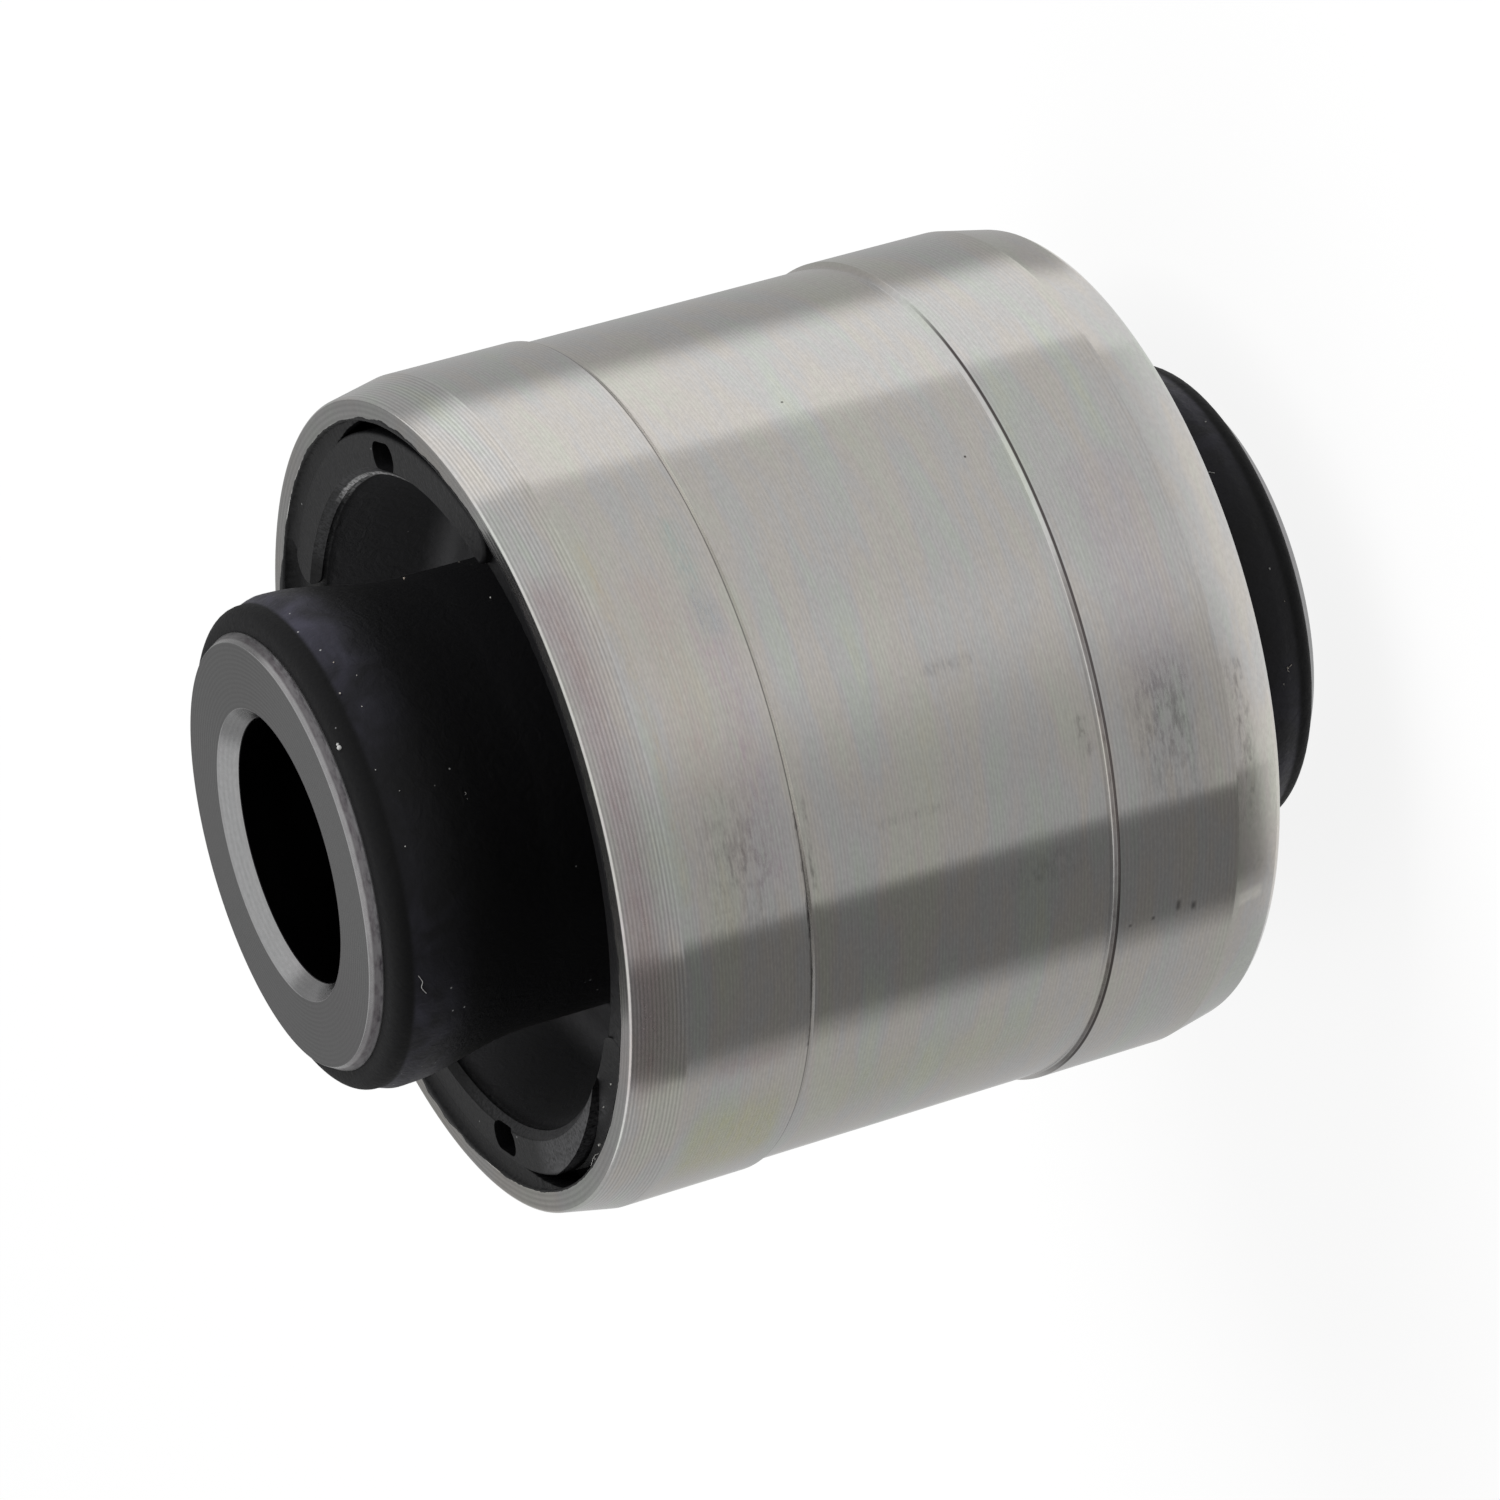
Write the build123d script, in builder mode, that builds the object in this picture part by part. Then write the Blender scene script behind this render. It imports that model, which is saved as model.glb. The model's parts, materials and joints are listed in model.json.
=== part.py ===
from build123d import *
import os

# A rubber metal bush that stands on the end of its inner sleeve, axis along +Z.
# Millimetres. The origin is the centre of the inner sleeve's lower end face.
# In an outline, the first value is the distance from the axis and the second is the height.

# Outer sleeve: a turned steel tube with two raised press lands
outer_radius = 22.5
outer_length = 37.4
outer_wall = 1.75
land_length = 6.95
relief_depth = 0.24
relief_step = 0.3
lead_length = 2.9
lead_depth = 0.6
top_rim_round = 0.15
bottom_rim_round = 0.45

# Inner sleeve: a thick steel tube that the bolt passes through
bolt_radius = 7.1
inner_radius = 11.7
top_overhang = 9.5
bottom_overhang = 8.1
tip_chamfer_length = 0.62
tip_chamfer_depth = 0.37
mouth_length = 0.96
mouth_depth = 0.73

# Rubber collar round each end of the inner sleeve, and the waisted neck under it
collar_setback = 0.7
collar_wall = 1.5
collar_round = 0.9
collar_edge = 0.1
collar_crest = 2.1
collar_taper = 0.25
neck_wall = 0.45
neck_drop = 0.7

# Annular cup in each end of the rubber, between the neck and the lip
cup_depth = 7.6
cup_taper = 1.4
cup_flat = 0.3

# Lip inside the outer sleeve, which slopes away outwards to a groove at the sleeve's wall
lip_width = 3.1
lip_drop = 0.85
lip_round = 0.35
crest_gap = 1.55
crest_round = 0.25
groove_depth = 2.5

# Kidney-shaped pads that stand on the lip, two on each end, opposite each other
pad_drop = 0.34
pad_gap = 0.75
pad_round = 0.2
pad_bevel = 0.45
pad_span = 88.0
pad_angles = (-5.0, 175.0)

# Pockets that the mould's pins leave in the top pads, close beside the cup
pocket_wall = 0.3
pocket_length = 1.6
pocket_width = 2.7
pocket_round = 0.7
pocket_depth = 2.4
pocket_angles = (-14.5, 160.0)

# The end of one top pad that is torn off, and the outer edge that is torn away as far as there
tear_depth = 0.4
tear_start = -182.0
tear_middle = -166.0
tear_end = -151.0
tear_margin = 20.0
tear_middle_width = 0.85

# How far apart two heights may be and still count as the same
same_height = 0.001

# Heights that follow from the lengths
outer_bottom = bottom_overhang
outer_top = outer_bottom + outer_length
inner_top = outer_top + top_overhang

# Radii that follow from the walls
relief_radius = outer_radius - relief_depth
lead_radius = outer_radius - lead_depth
seat_radius = outer_radius - outer_wall
collar_radius = inner_radius + collar_wall
neck_radius = inner_radius + neck_wall
shoulder_radius = collar_radius - collar_taper
lip_radius = seat_radius - lip_width
crest_radius = seat_radius - crest_gap
pad_radius = seat_radius - pad_gap

# The cup's floor is rounded up into both walls, with a narrow flat left between the rounds
cup_round = (lip_radius - cup_taper - neck_radius - cup_flat) / 2

# Each end of the bush: the outer sleeve's face, the inner sleeve's face and the way out along Z
ends = ((outer_top, inner_top, 1), (outer_bottom, 0.0, -1))


def sleeve_points(face, out):
    """Outline of the outer sleeve's outside, from its end face to the edge of the turned-down middle."""
    land_start = face - out * lead_length
    land_end = land_start - out * land_length
    return [
        (lead_radius, face),
        (outer_radius, land_start),
        (outer_radius, land_end),
        (relief_radius, land_end - out * relief_step),
    ]


def tip_points(face, out):
    """Outline of the inner sleeve at one end, from its bore over the end face to its outside."""
    return [
        (bolt_radius, face - out * mouth_length),
        (bolt_radius + mouth_depth, face),
        (inner_radius - tip_chamfer_depth, face),
        (inner_radius, face - out * tip_chamfer_length),
    ]


with BuildPart() as outer_sleeve:
    with BuildSketch(Plane.XZ) as sleeve_section:
        with BuildLine():
            Polyline(
                (seat_radius, outer_top),
                *sleeve_points(outer_top, 1),
                *reversed(sleeve_points(outer_bottom, -1)),
                (seat_radius, outer_bottom),
                close=True,
            )
        make_face()
        top_rim = sleeve_section.vertices().group_by(Axis.Y)[-1].sort_by(Axis.X)[-1]
        fillet(top_rim, top_rim_round)
        bottom_rim = sleeve_section.vertices().group_by(Axis.Y)[0].sort_by(Axis.X)[-1]
        fillet(bottom_rim, bottom_rim_round)
    revolve(axis=Axis.Z)

with BuildPart() as inner_sleeve:
    with BuildSketch(Plane.XZ):
        with BuildLine():
            Polyline(
                *tip_points(inner_top, 1),
                *reversed(tip_points(0.0, -1)),
                close=True,
            )
        make_face()
    revolve(axis=Axis.Z)

with BuildPart() as rubber_insert:
    # The moulding's section, with the same outline at each end
    with BuildSketch(Plane.XZ):
        with BuildLine():
            for face, tip, out in ends:
                collar_front = tip - out * collar_setback
                shoulder_end = collar_front - out * (collar_round + collar_edge)
                crest = collar_front - out * collar_crest
                neck_start = face - out * neck_drop
                lip_top = face - out * lip_drop
                cup_floor = face - out * cup_depth
                FilletPolyline(
                    (inner_radius, collar_front),
                    (shoulder_radius, collar_front),
                    (shoulder_radius, shoulder_end),
                    radius=collar_round,
                )
                Spline(
                    (shoulder_radius, shoulder_end),
                    (collar_radius, crest),
                    tangents=((0, -out), (0, -out)),
                )
                Spline(
                    (collar_radius, crest),
                    (neck_radius, neck_start),
                    tangents=((0, -out), (0, -out)),
                )
                FilletPolyline(
                    (neck_radius, neck_start),
                    (neck_radius, cup_floor),
                    (lip_radius - cup_taper, cup_floor),
                    (lip_radius, lip_top),
                    (crest_radius, lip_top),
                    (seat_radius, face - out * groove_depth),
                    radius=(cup_round, cup_round, lip_round, crest_round),
                )
            Line((inner_radius, inner_top - collar_setback), (inner_radius, collar_setback))
            Line((seat_radius, outer_top - groove_depth), (seat_radius, outer_bottom + groove_depth))
        make_face()
    revolve(axis=Axis.Z)

    # Pads on the lip, rooted as deep as the groove beside them
    pad_width = pad_radius - lip_radius
    pad_line_radius = lip_radius + pad_width / 2
    for face, _, out in ends:
        pad_root = face - out * groove_depth
        pad_top = face - out * pad_drop
        with BuildSketch(Plane.XY.offset(pad_root)):
            for angle in pad_angles:
                pad_line = CenterArc(
                    (0, 0), pad_line_radius, angle - pad_span / 2, pad_span, mode=Mode.PRIVATE
                )
                SlotArc(pad_line, pad_width)
        extrude(amount=pad_top - pad_root)
        pad_tops = rubber_insert.faces().filter_by(Plane.XY).filter_by_position(
            Axis.Z, pad_top - same_height, pad_top + same_height
        )
        fillet(pad_tops.edges(), pad_round)

        # A bevel along the cup
        with BuildSketch(Plane.XZ):
            with BuildLine():
                Polyline(
                    (lip_radius, pad_top),
                    (lip_radius + pad_bevel, pad_top),
                    (lip_radius, pad_top - out * pad_bevel),
                    close=True,
                )
            make_face()
        revolve(axis=Axis.Z, mode=Mode.SUBTRACT)

    # Pockets in the top pads
    with BuildSketch(Plane.XY.offset(outer_top - pad_drop)):
        for angle in pocket_angles:
            with PolarLocations(lip_radius + pocket_wall + pocket_length / 2, 1, start_angle=angle):
                RectangleRounded(pocket_length, pocket_width, pocket_round)
    extrude(amount=-pocket_depth, mode=Mode.SUBTRACT)

    # The torn end of the top pad
    with BuildSketch(Plane.XY.offset(outer_top - pad_drop)):
        with BuildLine():
            tear_inside = ThreePointArc(
                Vector(pad_radius, 0).rotate(Axis.Z, tear_start),
                Vector(pad_radius - tear_middle_width, 0).rotate(Axis.Z, tear_middle),
                Vector(lip_radius + pad_bevel, 0).rotate(Axis.Z, tear_end),
            )
            Polyline(
                tear_inside @ 1,
                Vector(neck_radius, 0).rotate(Axis.Z, tear_end + tear_margin),
                Vector(outer_radius, 0).rotate(Axis.Z, tear_end + tear_margin),
                Vector(outer_radius, 0).rotate(Axis.Z, tear_middle),
                Vector(outer_radius, 0).rotate(Axis.Z, tear_start),
                tear_inside @ 0,
            )
        make_face()
    extrude(amount=-tear_depth, mode=Mode.SUBTRACT)

outer_sleeve.part.label = "outer_sleeve"
inner_sleeve.part.label = "inner_sleeve"
rubber_insert.part.label = "rubber_insert"

os.makedirs("parts", exist_ok=True)
export_step(outer_sleeve.part, "parts/outer_sleeve.step")
export_step(inner_sleeve.part, "parts/inner_sleeve.step")
export_step(rubber_insert.part, "parts/rubber_insert.step")
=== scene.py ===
"""A rubber metal bush on a pale studio floor, seen at the photograph's angle.

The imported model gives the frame. The two steel sleeves are turned again with finer edges, the rubber
keeps the form of its solid, and the small things that a mould and a workshop leave go on top.
Sizes are in millimetres unless a name says otherwise, and Blender gets them in metres.
"""
import json
import logging
import math
from dataclasses import dataclass
from enum import Enum

import bmesh
import bpy
from mathutils import Matrix, Vector, noise


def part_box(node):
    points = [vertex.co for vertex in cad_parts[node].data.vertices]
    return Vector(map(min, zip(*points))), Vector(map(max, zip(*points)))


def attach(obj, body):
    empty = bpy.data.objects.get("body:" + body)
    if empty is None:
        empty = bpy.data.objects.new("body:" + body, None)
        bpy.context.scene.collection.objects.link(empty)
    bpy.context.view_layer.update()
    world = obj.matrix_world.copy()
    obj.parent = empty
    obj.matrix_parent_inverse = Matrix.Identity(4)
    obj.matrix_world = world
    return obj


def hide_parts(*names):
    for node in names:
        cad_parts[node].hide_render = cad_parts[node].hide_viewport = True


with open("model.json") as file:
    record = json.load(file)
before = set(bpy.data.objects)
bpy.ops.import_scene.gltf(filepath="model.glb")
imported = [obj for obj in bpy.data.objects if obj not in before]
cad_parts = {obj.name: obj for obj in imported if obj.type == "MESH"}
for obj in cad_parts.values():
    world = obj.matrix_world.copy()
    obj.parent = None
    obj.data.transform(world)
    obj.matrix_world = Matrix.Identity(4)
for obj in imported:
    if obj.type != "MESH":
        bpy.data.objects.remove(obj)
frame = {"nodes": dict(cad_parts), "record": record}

log = logging.getLogger("bush")

MM = 0.001
ROOT = "root"

FULL_TURN = 360
# How near two points are welded, in metres
WELD = 1e-7
# Where most values of a noise lie
MIDDLE = (0.3, 0.7)
# Sockets of the Mix node when it mixes colours
MIX_FACTOR, MIX_A, MIX_B, MIX_RESULT = 0, 6, 7, 2


def linear(hex_code: str) -> tuple[float, float, float, float]:
    """Turn an sRGB hex colour into the linear colour that a socket takes.

    Args:
        hex_code: Six hex digits after a #.

    Returns:
        Red, green, blue and an alpha of 1.
    """
    parts = [int(hex_code[i:i + 2], 16) / 255 for i in (1, 3, 5)]
    curve = [p / 12.92 if p <= 0.04045 else ((p + 0.055) / 1.055) ** 2.4 for p in parts]
    return curve[0], curve[1], curve[2], 1.0


def grey(level: float) -> tuple[float, float, float, float]:
    """Give a linear grey as a colour."""
    return level, level, level, 1.0


def span(value: object, source: tuple[float, float], result: tuple[float, float] = (0.0, 1.0)) -> dict:
    """Say how a value's span is carried over to another one, for a node that maps ranges.

    Args:
        value: The value, as a node or a socket.
        source: The span that it comes from.
        result: The span that it goes to.

    Returns:
        The links for `add`.
    """
    return {
        "Value": value, "From Min": source[0], "From Max": source[1], "To Min": result[0], "To Max": result[1]
    }


def add(tree: bpy.types.NodeTree, kind: str, links: dict | None = None, **settings: object) -> bpy.types.Node:
    """Add a node to a tree with its settings, values and links.

    Args:
        tree: The node tree that gets the node.
        kind: The node's type name.
        links: Input names or numbers, each with a value, or with the socket or node that feeds it.
            A node feeds with its first output.
        settings: Properties of the node itself.

    Returns:
        The new node.
    """
    node = tree.nodes.new(kind)
    for name, value in settings.items():
        setattr(node, name, value)
    for key, value in (links or {}).items():
        if isinstance(value, bpy.types.Node):
            value = value.outputs[0]
        if isinstance(value, bpy.types.NodeSocket):
            tree.links.new(value, node.inputs[key])
        else:
            node.inputs[key].default_value = value
    return node


def fresh_tree(owner: bpy.types.Material | bpy.types.World) -> bpy.types.NodeTree:
    """Give a material or a world an empty node tree."""
    owner.use_nodes = True
    owner.node_tree.nodes.clear()
    return owner.node_tree


def linked(name: str, data: bpy.types.ID) -> bpy.types.Object:
    """Make an object of a mesh, a lamp or a camera, and link it to the scene."""
    thing = bpy.data.objects.new(name, data)
    bpy.context.collection.objects.link(thing)
    return thing


def ramp(node: bpy.types.Node, stops: list[tuple[float, tuple[float, ...]]]) -> bpy.types.Node:
    """Fill a colour ramp with stops.

    Args:
        node: The Color Ramp node.
        stops: Positions from 0 to 1, each with its linear colour.

    Returns:
        The same node.
    """
    elements = node.color_ramp.elements
    while len(elements) > 1:
        elements.remove(elements[-1])
    elements[0].position, elements[0].color = stops[0]
    for position, colour in stops[1:]:
        elements.new(position).color = colour
    return node


def product(tree: bpy.types.NodeTree, *factors: object) -> bpy.types.Node:
    """Multiply two or more numbers, sockets or nodes with each other."""
    result = factors[0]
    for factor in factors[1:]:
        result = add(tree, "ShaderNodeMath", {0: result, 1: factor}, operation="MULTIPLY")
    return result


def narrowed(
    tree: bpy.types.NodeTree, mask: object, value: object, edge: float, full: float
) -> bpy.types.Node:
    """Narrow a mask to where a value has passed an edge, with a soft step.

    Args:
        tree: The material's tree.
        mask: The mask so far, a number or a node.
        value: The value that is compared.
        edge: Where the step starts at 0.
        full: Where it reaches 1.

    Returns:
        The narrowed mask.
    """
    step = add(tree, "ShaderNodeMapRange", span(value, (edge, full)), interpolation_type="SMOOTHSTEP")
    return product(tree, step, mask)


def layered(
    tree: bpy.types.NodeTree, colour: object, layers: list[tuple[object, object]]
) -> bpy.types.NodeSocket:
    """Lay colours over each other.

    Args:
        tree: The tree.
        colour: The lowest colour.
        layers: The others from the lowest up, each as its mask and its colour.

    Returns:
        The colour that shows.
    """
    for mask, over in layers:
        mix = add(tree, "ShaderNodeMix", {MIX_FACTOR: mask, MIX_A: colour, MIX_B: over}, data_type="RGBA")
        colour = mix.outputs[MIX_RESULT]
    return colour


def cells(
    tree: bpy.types.NodeTree, point: object, size: tuple[float, ...], detail: float, roughness: float = 0.5
) -> bpy.types.Node:
    """Make noise whose cells are longer one way than the other.

    Args:
        tree: The material's tree.
        point: The point in millimetres.
        size: How many cells there are to a millimetre along X, Y and Z.
        detail: How many finer layers the noise has.
        roughness: How strong those layers are.

    Returns:
        The noise.
    """
    place = add(tree, "ShaderNodeVectorMath", {0: point, 1: size}, operation="MULTIPLY")
    values = {"Vector": place, "Scale": 1.0, "Detail": detail, "Roughness": roughness}
    return add(tree, "ShaderNodeTexNoise", values)


def surface_point(tree: bpy.types.NodeTree) -> tuple[bpy.types.Node, bpy.types.Node, bpy.types.NodeSocket]:
    """Give the shaded point in millimetres, the same without its height, and its distance from the axis."""
    place = add(tree, "ShaderNodeTexCoord").outputs["Object"]
    point = add(tree, "ShaderNodeVectorMath", {0: place, "Scale": 1 / MM}, operation="SCALE")
    flat = add(tree, "ShaderNodeVectorMath", {0: point, 1: (1, 1, 0)}, operation="MULTIPLY")
    return point, flat, add(tree, "ShaderNodeVectorMath", {0: flat}, operation="LENGTH").outputs["Value"]


def reach_of(node: str) -> tuple[float, float, float]:
    """Give the radius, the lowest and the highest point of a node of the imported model, in millimetres."""
    lowest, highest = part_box(node)
    return highest[0] / MM, lowest[2] / MM, highest[2] / MM


@dataclass(frozen=True)
class Corner:
    """One corner of a turned section.

    Args:
        radius: Distance from the axis.
        height: Height above the floor.
        edge: Radius of the round that the corner gets.
    """

    radius: float
    height: float
    edge: float = 0.05


@dataclass(frozen=True)
class Section:
    """A closed section of corners, walked with the metal on the left hand."""

    corners: tuple[Corner, ...]
    arc_steps: int = 6
    hold: float = 0.03

    def points(self) -> list[Vector]:
        """Round every corner, and hold each flat stretch straight close to its rounds.

        Returns:
            The outline's points in the XZ plane, the first one repeated at the end.
        """
        out: list[Vector] = []
        count = len(self.corners)
        spots = [Vector((c.radius, c.height)) for c in self.corners]
        for i, corner in enumerate(self.corners):
            here, before, after = spots[i], spots[i - 1], spots[(i + 1) % count]
            back, ahead = (before - here).normalized(), (after - here).normalized()
            half = math.acos(max(-1.0, min(1.0, back.dot(ahead)))) / 2
            reach = corner.edge / math.tan(half)
            middle = here + (back + ahead).normalized() * (corner.edge / math.sin(half))
            start, end = here + back * reach, here + ahead * reach
            out.append(start + back * self.hold)
            first, last = start - middle, end - middle
            turn = first.angle_signed(last)
            for k in range(self.arc_steps + 1):
                out.append(middle + Matrix.Rotation(-turn * k / self.arc_steps, 2) @ first)
            out.append(end + ahead * self.hold)
        out.append(out[0])
        return [Vector((p.x * MM, 0.0, p.y * MM)) for p in out]


def new_group(name: str, inputs: dict[str, str]) -> tuple[bpy.types.NodeTree, object]:
    """Start a Geometry Nodes tree.

    Args:
        name: The tree's name.
        inputs: Its inputs by name, each with its kind.

    Returns:
        The tree and the sockets of its inputs.
    """
    tree = bpy.data.node_groups.new(name, "GeometryNodeTree")
    for label, kind in inputs.items():
        tree.interface.new_socket(label, in_out="INPUT", socket_type="NodeSocket" + kind)
    tree.interface.new_socket("Piece", in_out="OUTPUT", socket_type="NodeSocketGeometry")
    return tree, tree.nodes.new("NodeGroupInput").outputs


def closed_group(tree: bpy.types.NodeTree, shape: bpy.types.Node, finish: object) -> bpy.types.NodeTree:
    """End a Geometry Nodes tree.

    Args:
        tree: The tree.
        shape: The node that gives the shape.
        finish: The socket of the material.

    Returns:
        The same tree, which now gives the shape as real faces, shaded smooth, in the material.
    """
    real = add(tree, "GeometryNodeRealizeInstances", {"Geometry": shape})
    smooth = add(tree, "GeometryNodeSetShadeSmooth", {"Geometry": real})
    dressed = add(tree, "GeometryNodeSetMaterial", {"Geometry": smooth, "Material": finish})
    add(tree, "NodeGroupOutput", {0: dressed})
    return tree


def turning_tree() -> bpy.types.NodeTree:
    """Build the tree that turns a section about the Z axis.

    Returns:
        A tree whose inputs are the section, the number of segments and the material.
    """
    inputs = {"Section": "Geometry", "Segments": "Int", "Finish": "Material"}
    tree, given = new_group("turn_about_axis", inputs)
    rows = add(tree, "GeometryNodeAttributeDomainSize", {"Geometry": given["Section"]}).outputs["Point Count"]
    columns = add(tree, "ShaderNodeMath", {0: given["Segments"], 1: 1.0}, operation="ADD")
    sheet = add(tree, "GeometryNodeMeshGrid", {"Vertices X": columns, "Vertices Y": rows})
    index = add(tree, "GeometryNodeInputIndex")
    ratio = add(tree, "ShaderNodeMath", {0: index, 1: rows}, operation="DIVIDE")
    column = add(tree, "ShaderNodeMath", {0: ratio}, operation="FLOOR")
    row = add(tree, "ShaderNodeMath", {0: index, 1: rows}, operation="MODULO")
    sought = {"Geometry": given["Section"], "Value": add(tree, "GeometryNodeInputPosition"), "Index": row}
    spot = add(tree, "GeometryNodeSampleIndex", sought, data_type="FLOAT_VECTOR")
    part = add(tree, "ShaderNodeSeparateXYZ", {0: spot}).outputs
    share = add(tree, "ShaderNodeMath", {0: column, 1: given["Segments"]}, operation="DIVIDE")
    angle = product(tree, share, math.tau)
    across = product(tree, part[0], add(tree, "ShaderNodeMath", {0: angle}, operation="COSINE"))
    along = product(tree, part[0], add(tree, "ShaderNodeMath", {0: angle}, operation="SINE"))
    target = add(tree, "ShaderNodeCombineXYZ", {0: across, 1: along, 2: part[2]})
    turned = add(tree, "GeometryNodeSetPosition", {"Geometry": sheet, "Position": target})
    joined = add(tree, "GeometryNodeMergeByDistance", {"Geometry": turned, "Distance": WELD})
    return closed_group(tree, joined, given["Finish"])


def settled(name: str, source: bpy.types.Object) -> bpy.types.Object:
    """Turn an object with live modifiers into one with a plain mesh.

    Args:
        name: The new object's name.
        source: The object that carries the modifiers, which is deleted.

    Returns:
        The new object, at the origin and linked to the scene.
    """
    graph = bpy.context.evaluated_depsgraph_get()
    mesh = bpy.data.meshes.new_from_object(source.evaluated_get(graph))
    mesh.name = name
    bpy.data.objects.remove(source)
    return linked(name, mesh)


def with_tree(
    name: str, mesh: bpy.types.Mesh, tree: bpy.types.NodeTree, values: dict[str, object]
) -> bpy.types.Object:
    """Run a Geometry Nodes tree on a mesh and keep the result as a plain mesh.

    Args:
        name: The piece's name.
        mesh: The mesh that the tree starts from.
        tree: The tree.
        values: The tree's inputs by name.

    Returns:
        The finished object.
    """
    carrier = linked(name + "_carrier", mesh)
    modifier = carrier.modifiers.new("shape", "NODES")
    modifier.node_group = tree
    for item in tree.interface.items_tree:
        if item.in_out == "INPUT" and item.name in values:
            modifier[item.identifier] = values[item.name]
    return settled(name, carrier)


def turned_piece(
    name: str, section: Section, segments: int, finish: bpy.types.Material, tree: bpy.types.NodeTree
) -> bpy.types.Object:
    """Turn a section into a piece.

    Args:
        name: The piece's name.
        section: The closed section.
        segments: How many flats stand for the round.
        finish: The piece's material.
        tree: The turning tree.

    Returns:
        The piece.
    """
    mesh = bpy.data.meshes.new(name + "_section")
    points = section.points()
    mesh.from_pydata(points, [(i, i + 1) for i in range(len(points) - 1)], [])
    return with_tree(name, mesh, tree, {"Segments": segments, "Finish": finish})


class Roundness(Enum):
    """How many segments a turned piece gets, by how large it shows."""

    LARGE = 384
    SMALL = 256


@dataclass(frozen=True)
class FeedBand:
    """A stretch of a turned surface with its own feed marks.

    Args:
        low: Where it starts.
        high: Where it ends.
        feed: Distance between two passes of the tool.
        depth: How strongly the marks show, 1 for the clearest.
    """

    low: float
    high: float
    feed: float
    depth: float


@dataclass(frozen=True)
class Patch:
    """A tint, stain, smudge, pit, painted shade or painted highlight on a turned surface, which follows the
    turning marks.

    Args:
        low: Its lower edge.
        high: Its upper edge.
        start: The angle about the axis where it starts, in degrees.
        end: The angle where it ends, in degrees.
        colour: Its colour.
        share: How much of the metal's colour it covers, from 0 to 1.
        fade: Over how many millimetres its edges fade out.
        broken: How much it breaks up into streaks, from 0 to 1.
        run: Over how many millimetres its two ends fade out, where that is more.
        beyond: The radius inside which it doesn't show.
        beyond_fade: Over how many millimetres it fades out there.
    """

    low: float
    high: float
    start: float
    end: float
    colour: str
    share: float
    fade: float = 0.5
    broken: float = 0.0
    run: float = 0.0
    beyond: float = 0.0
    beyond_fade: float = 0.02


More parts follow.
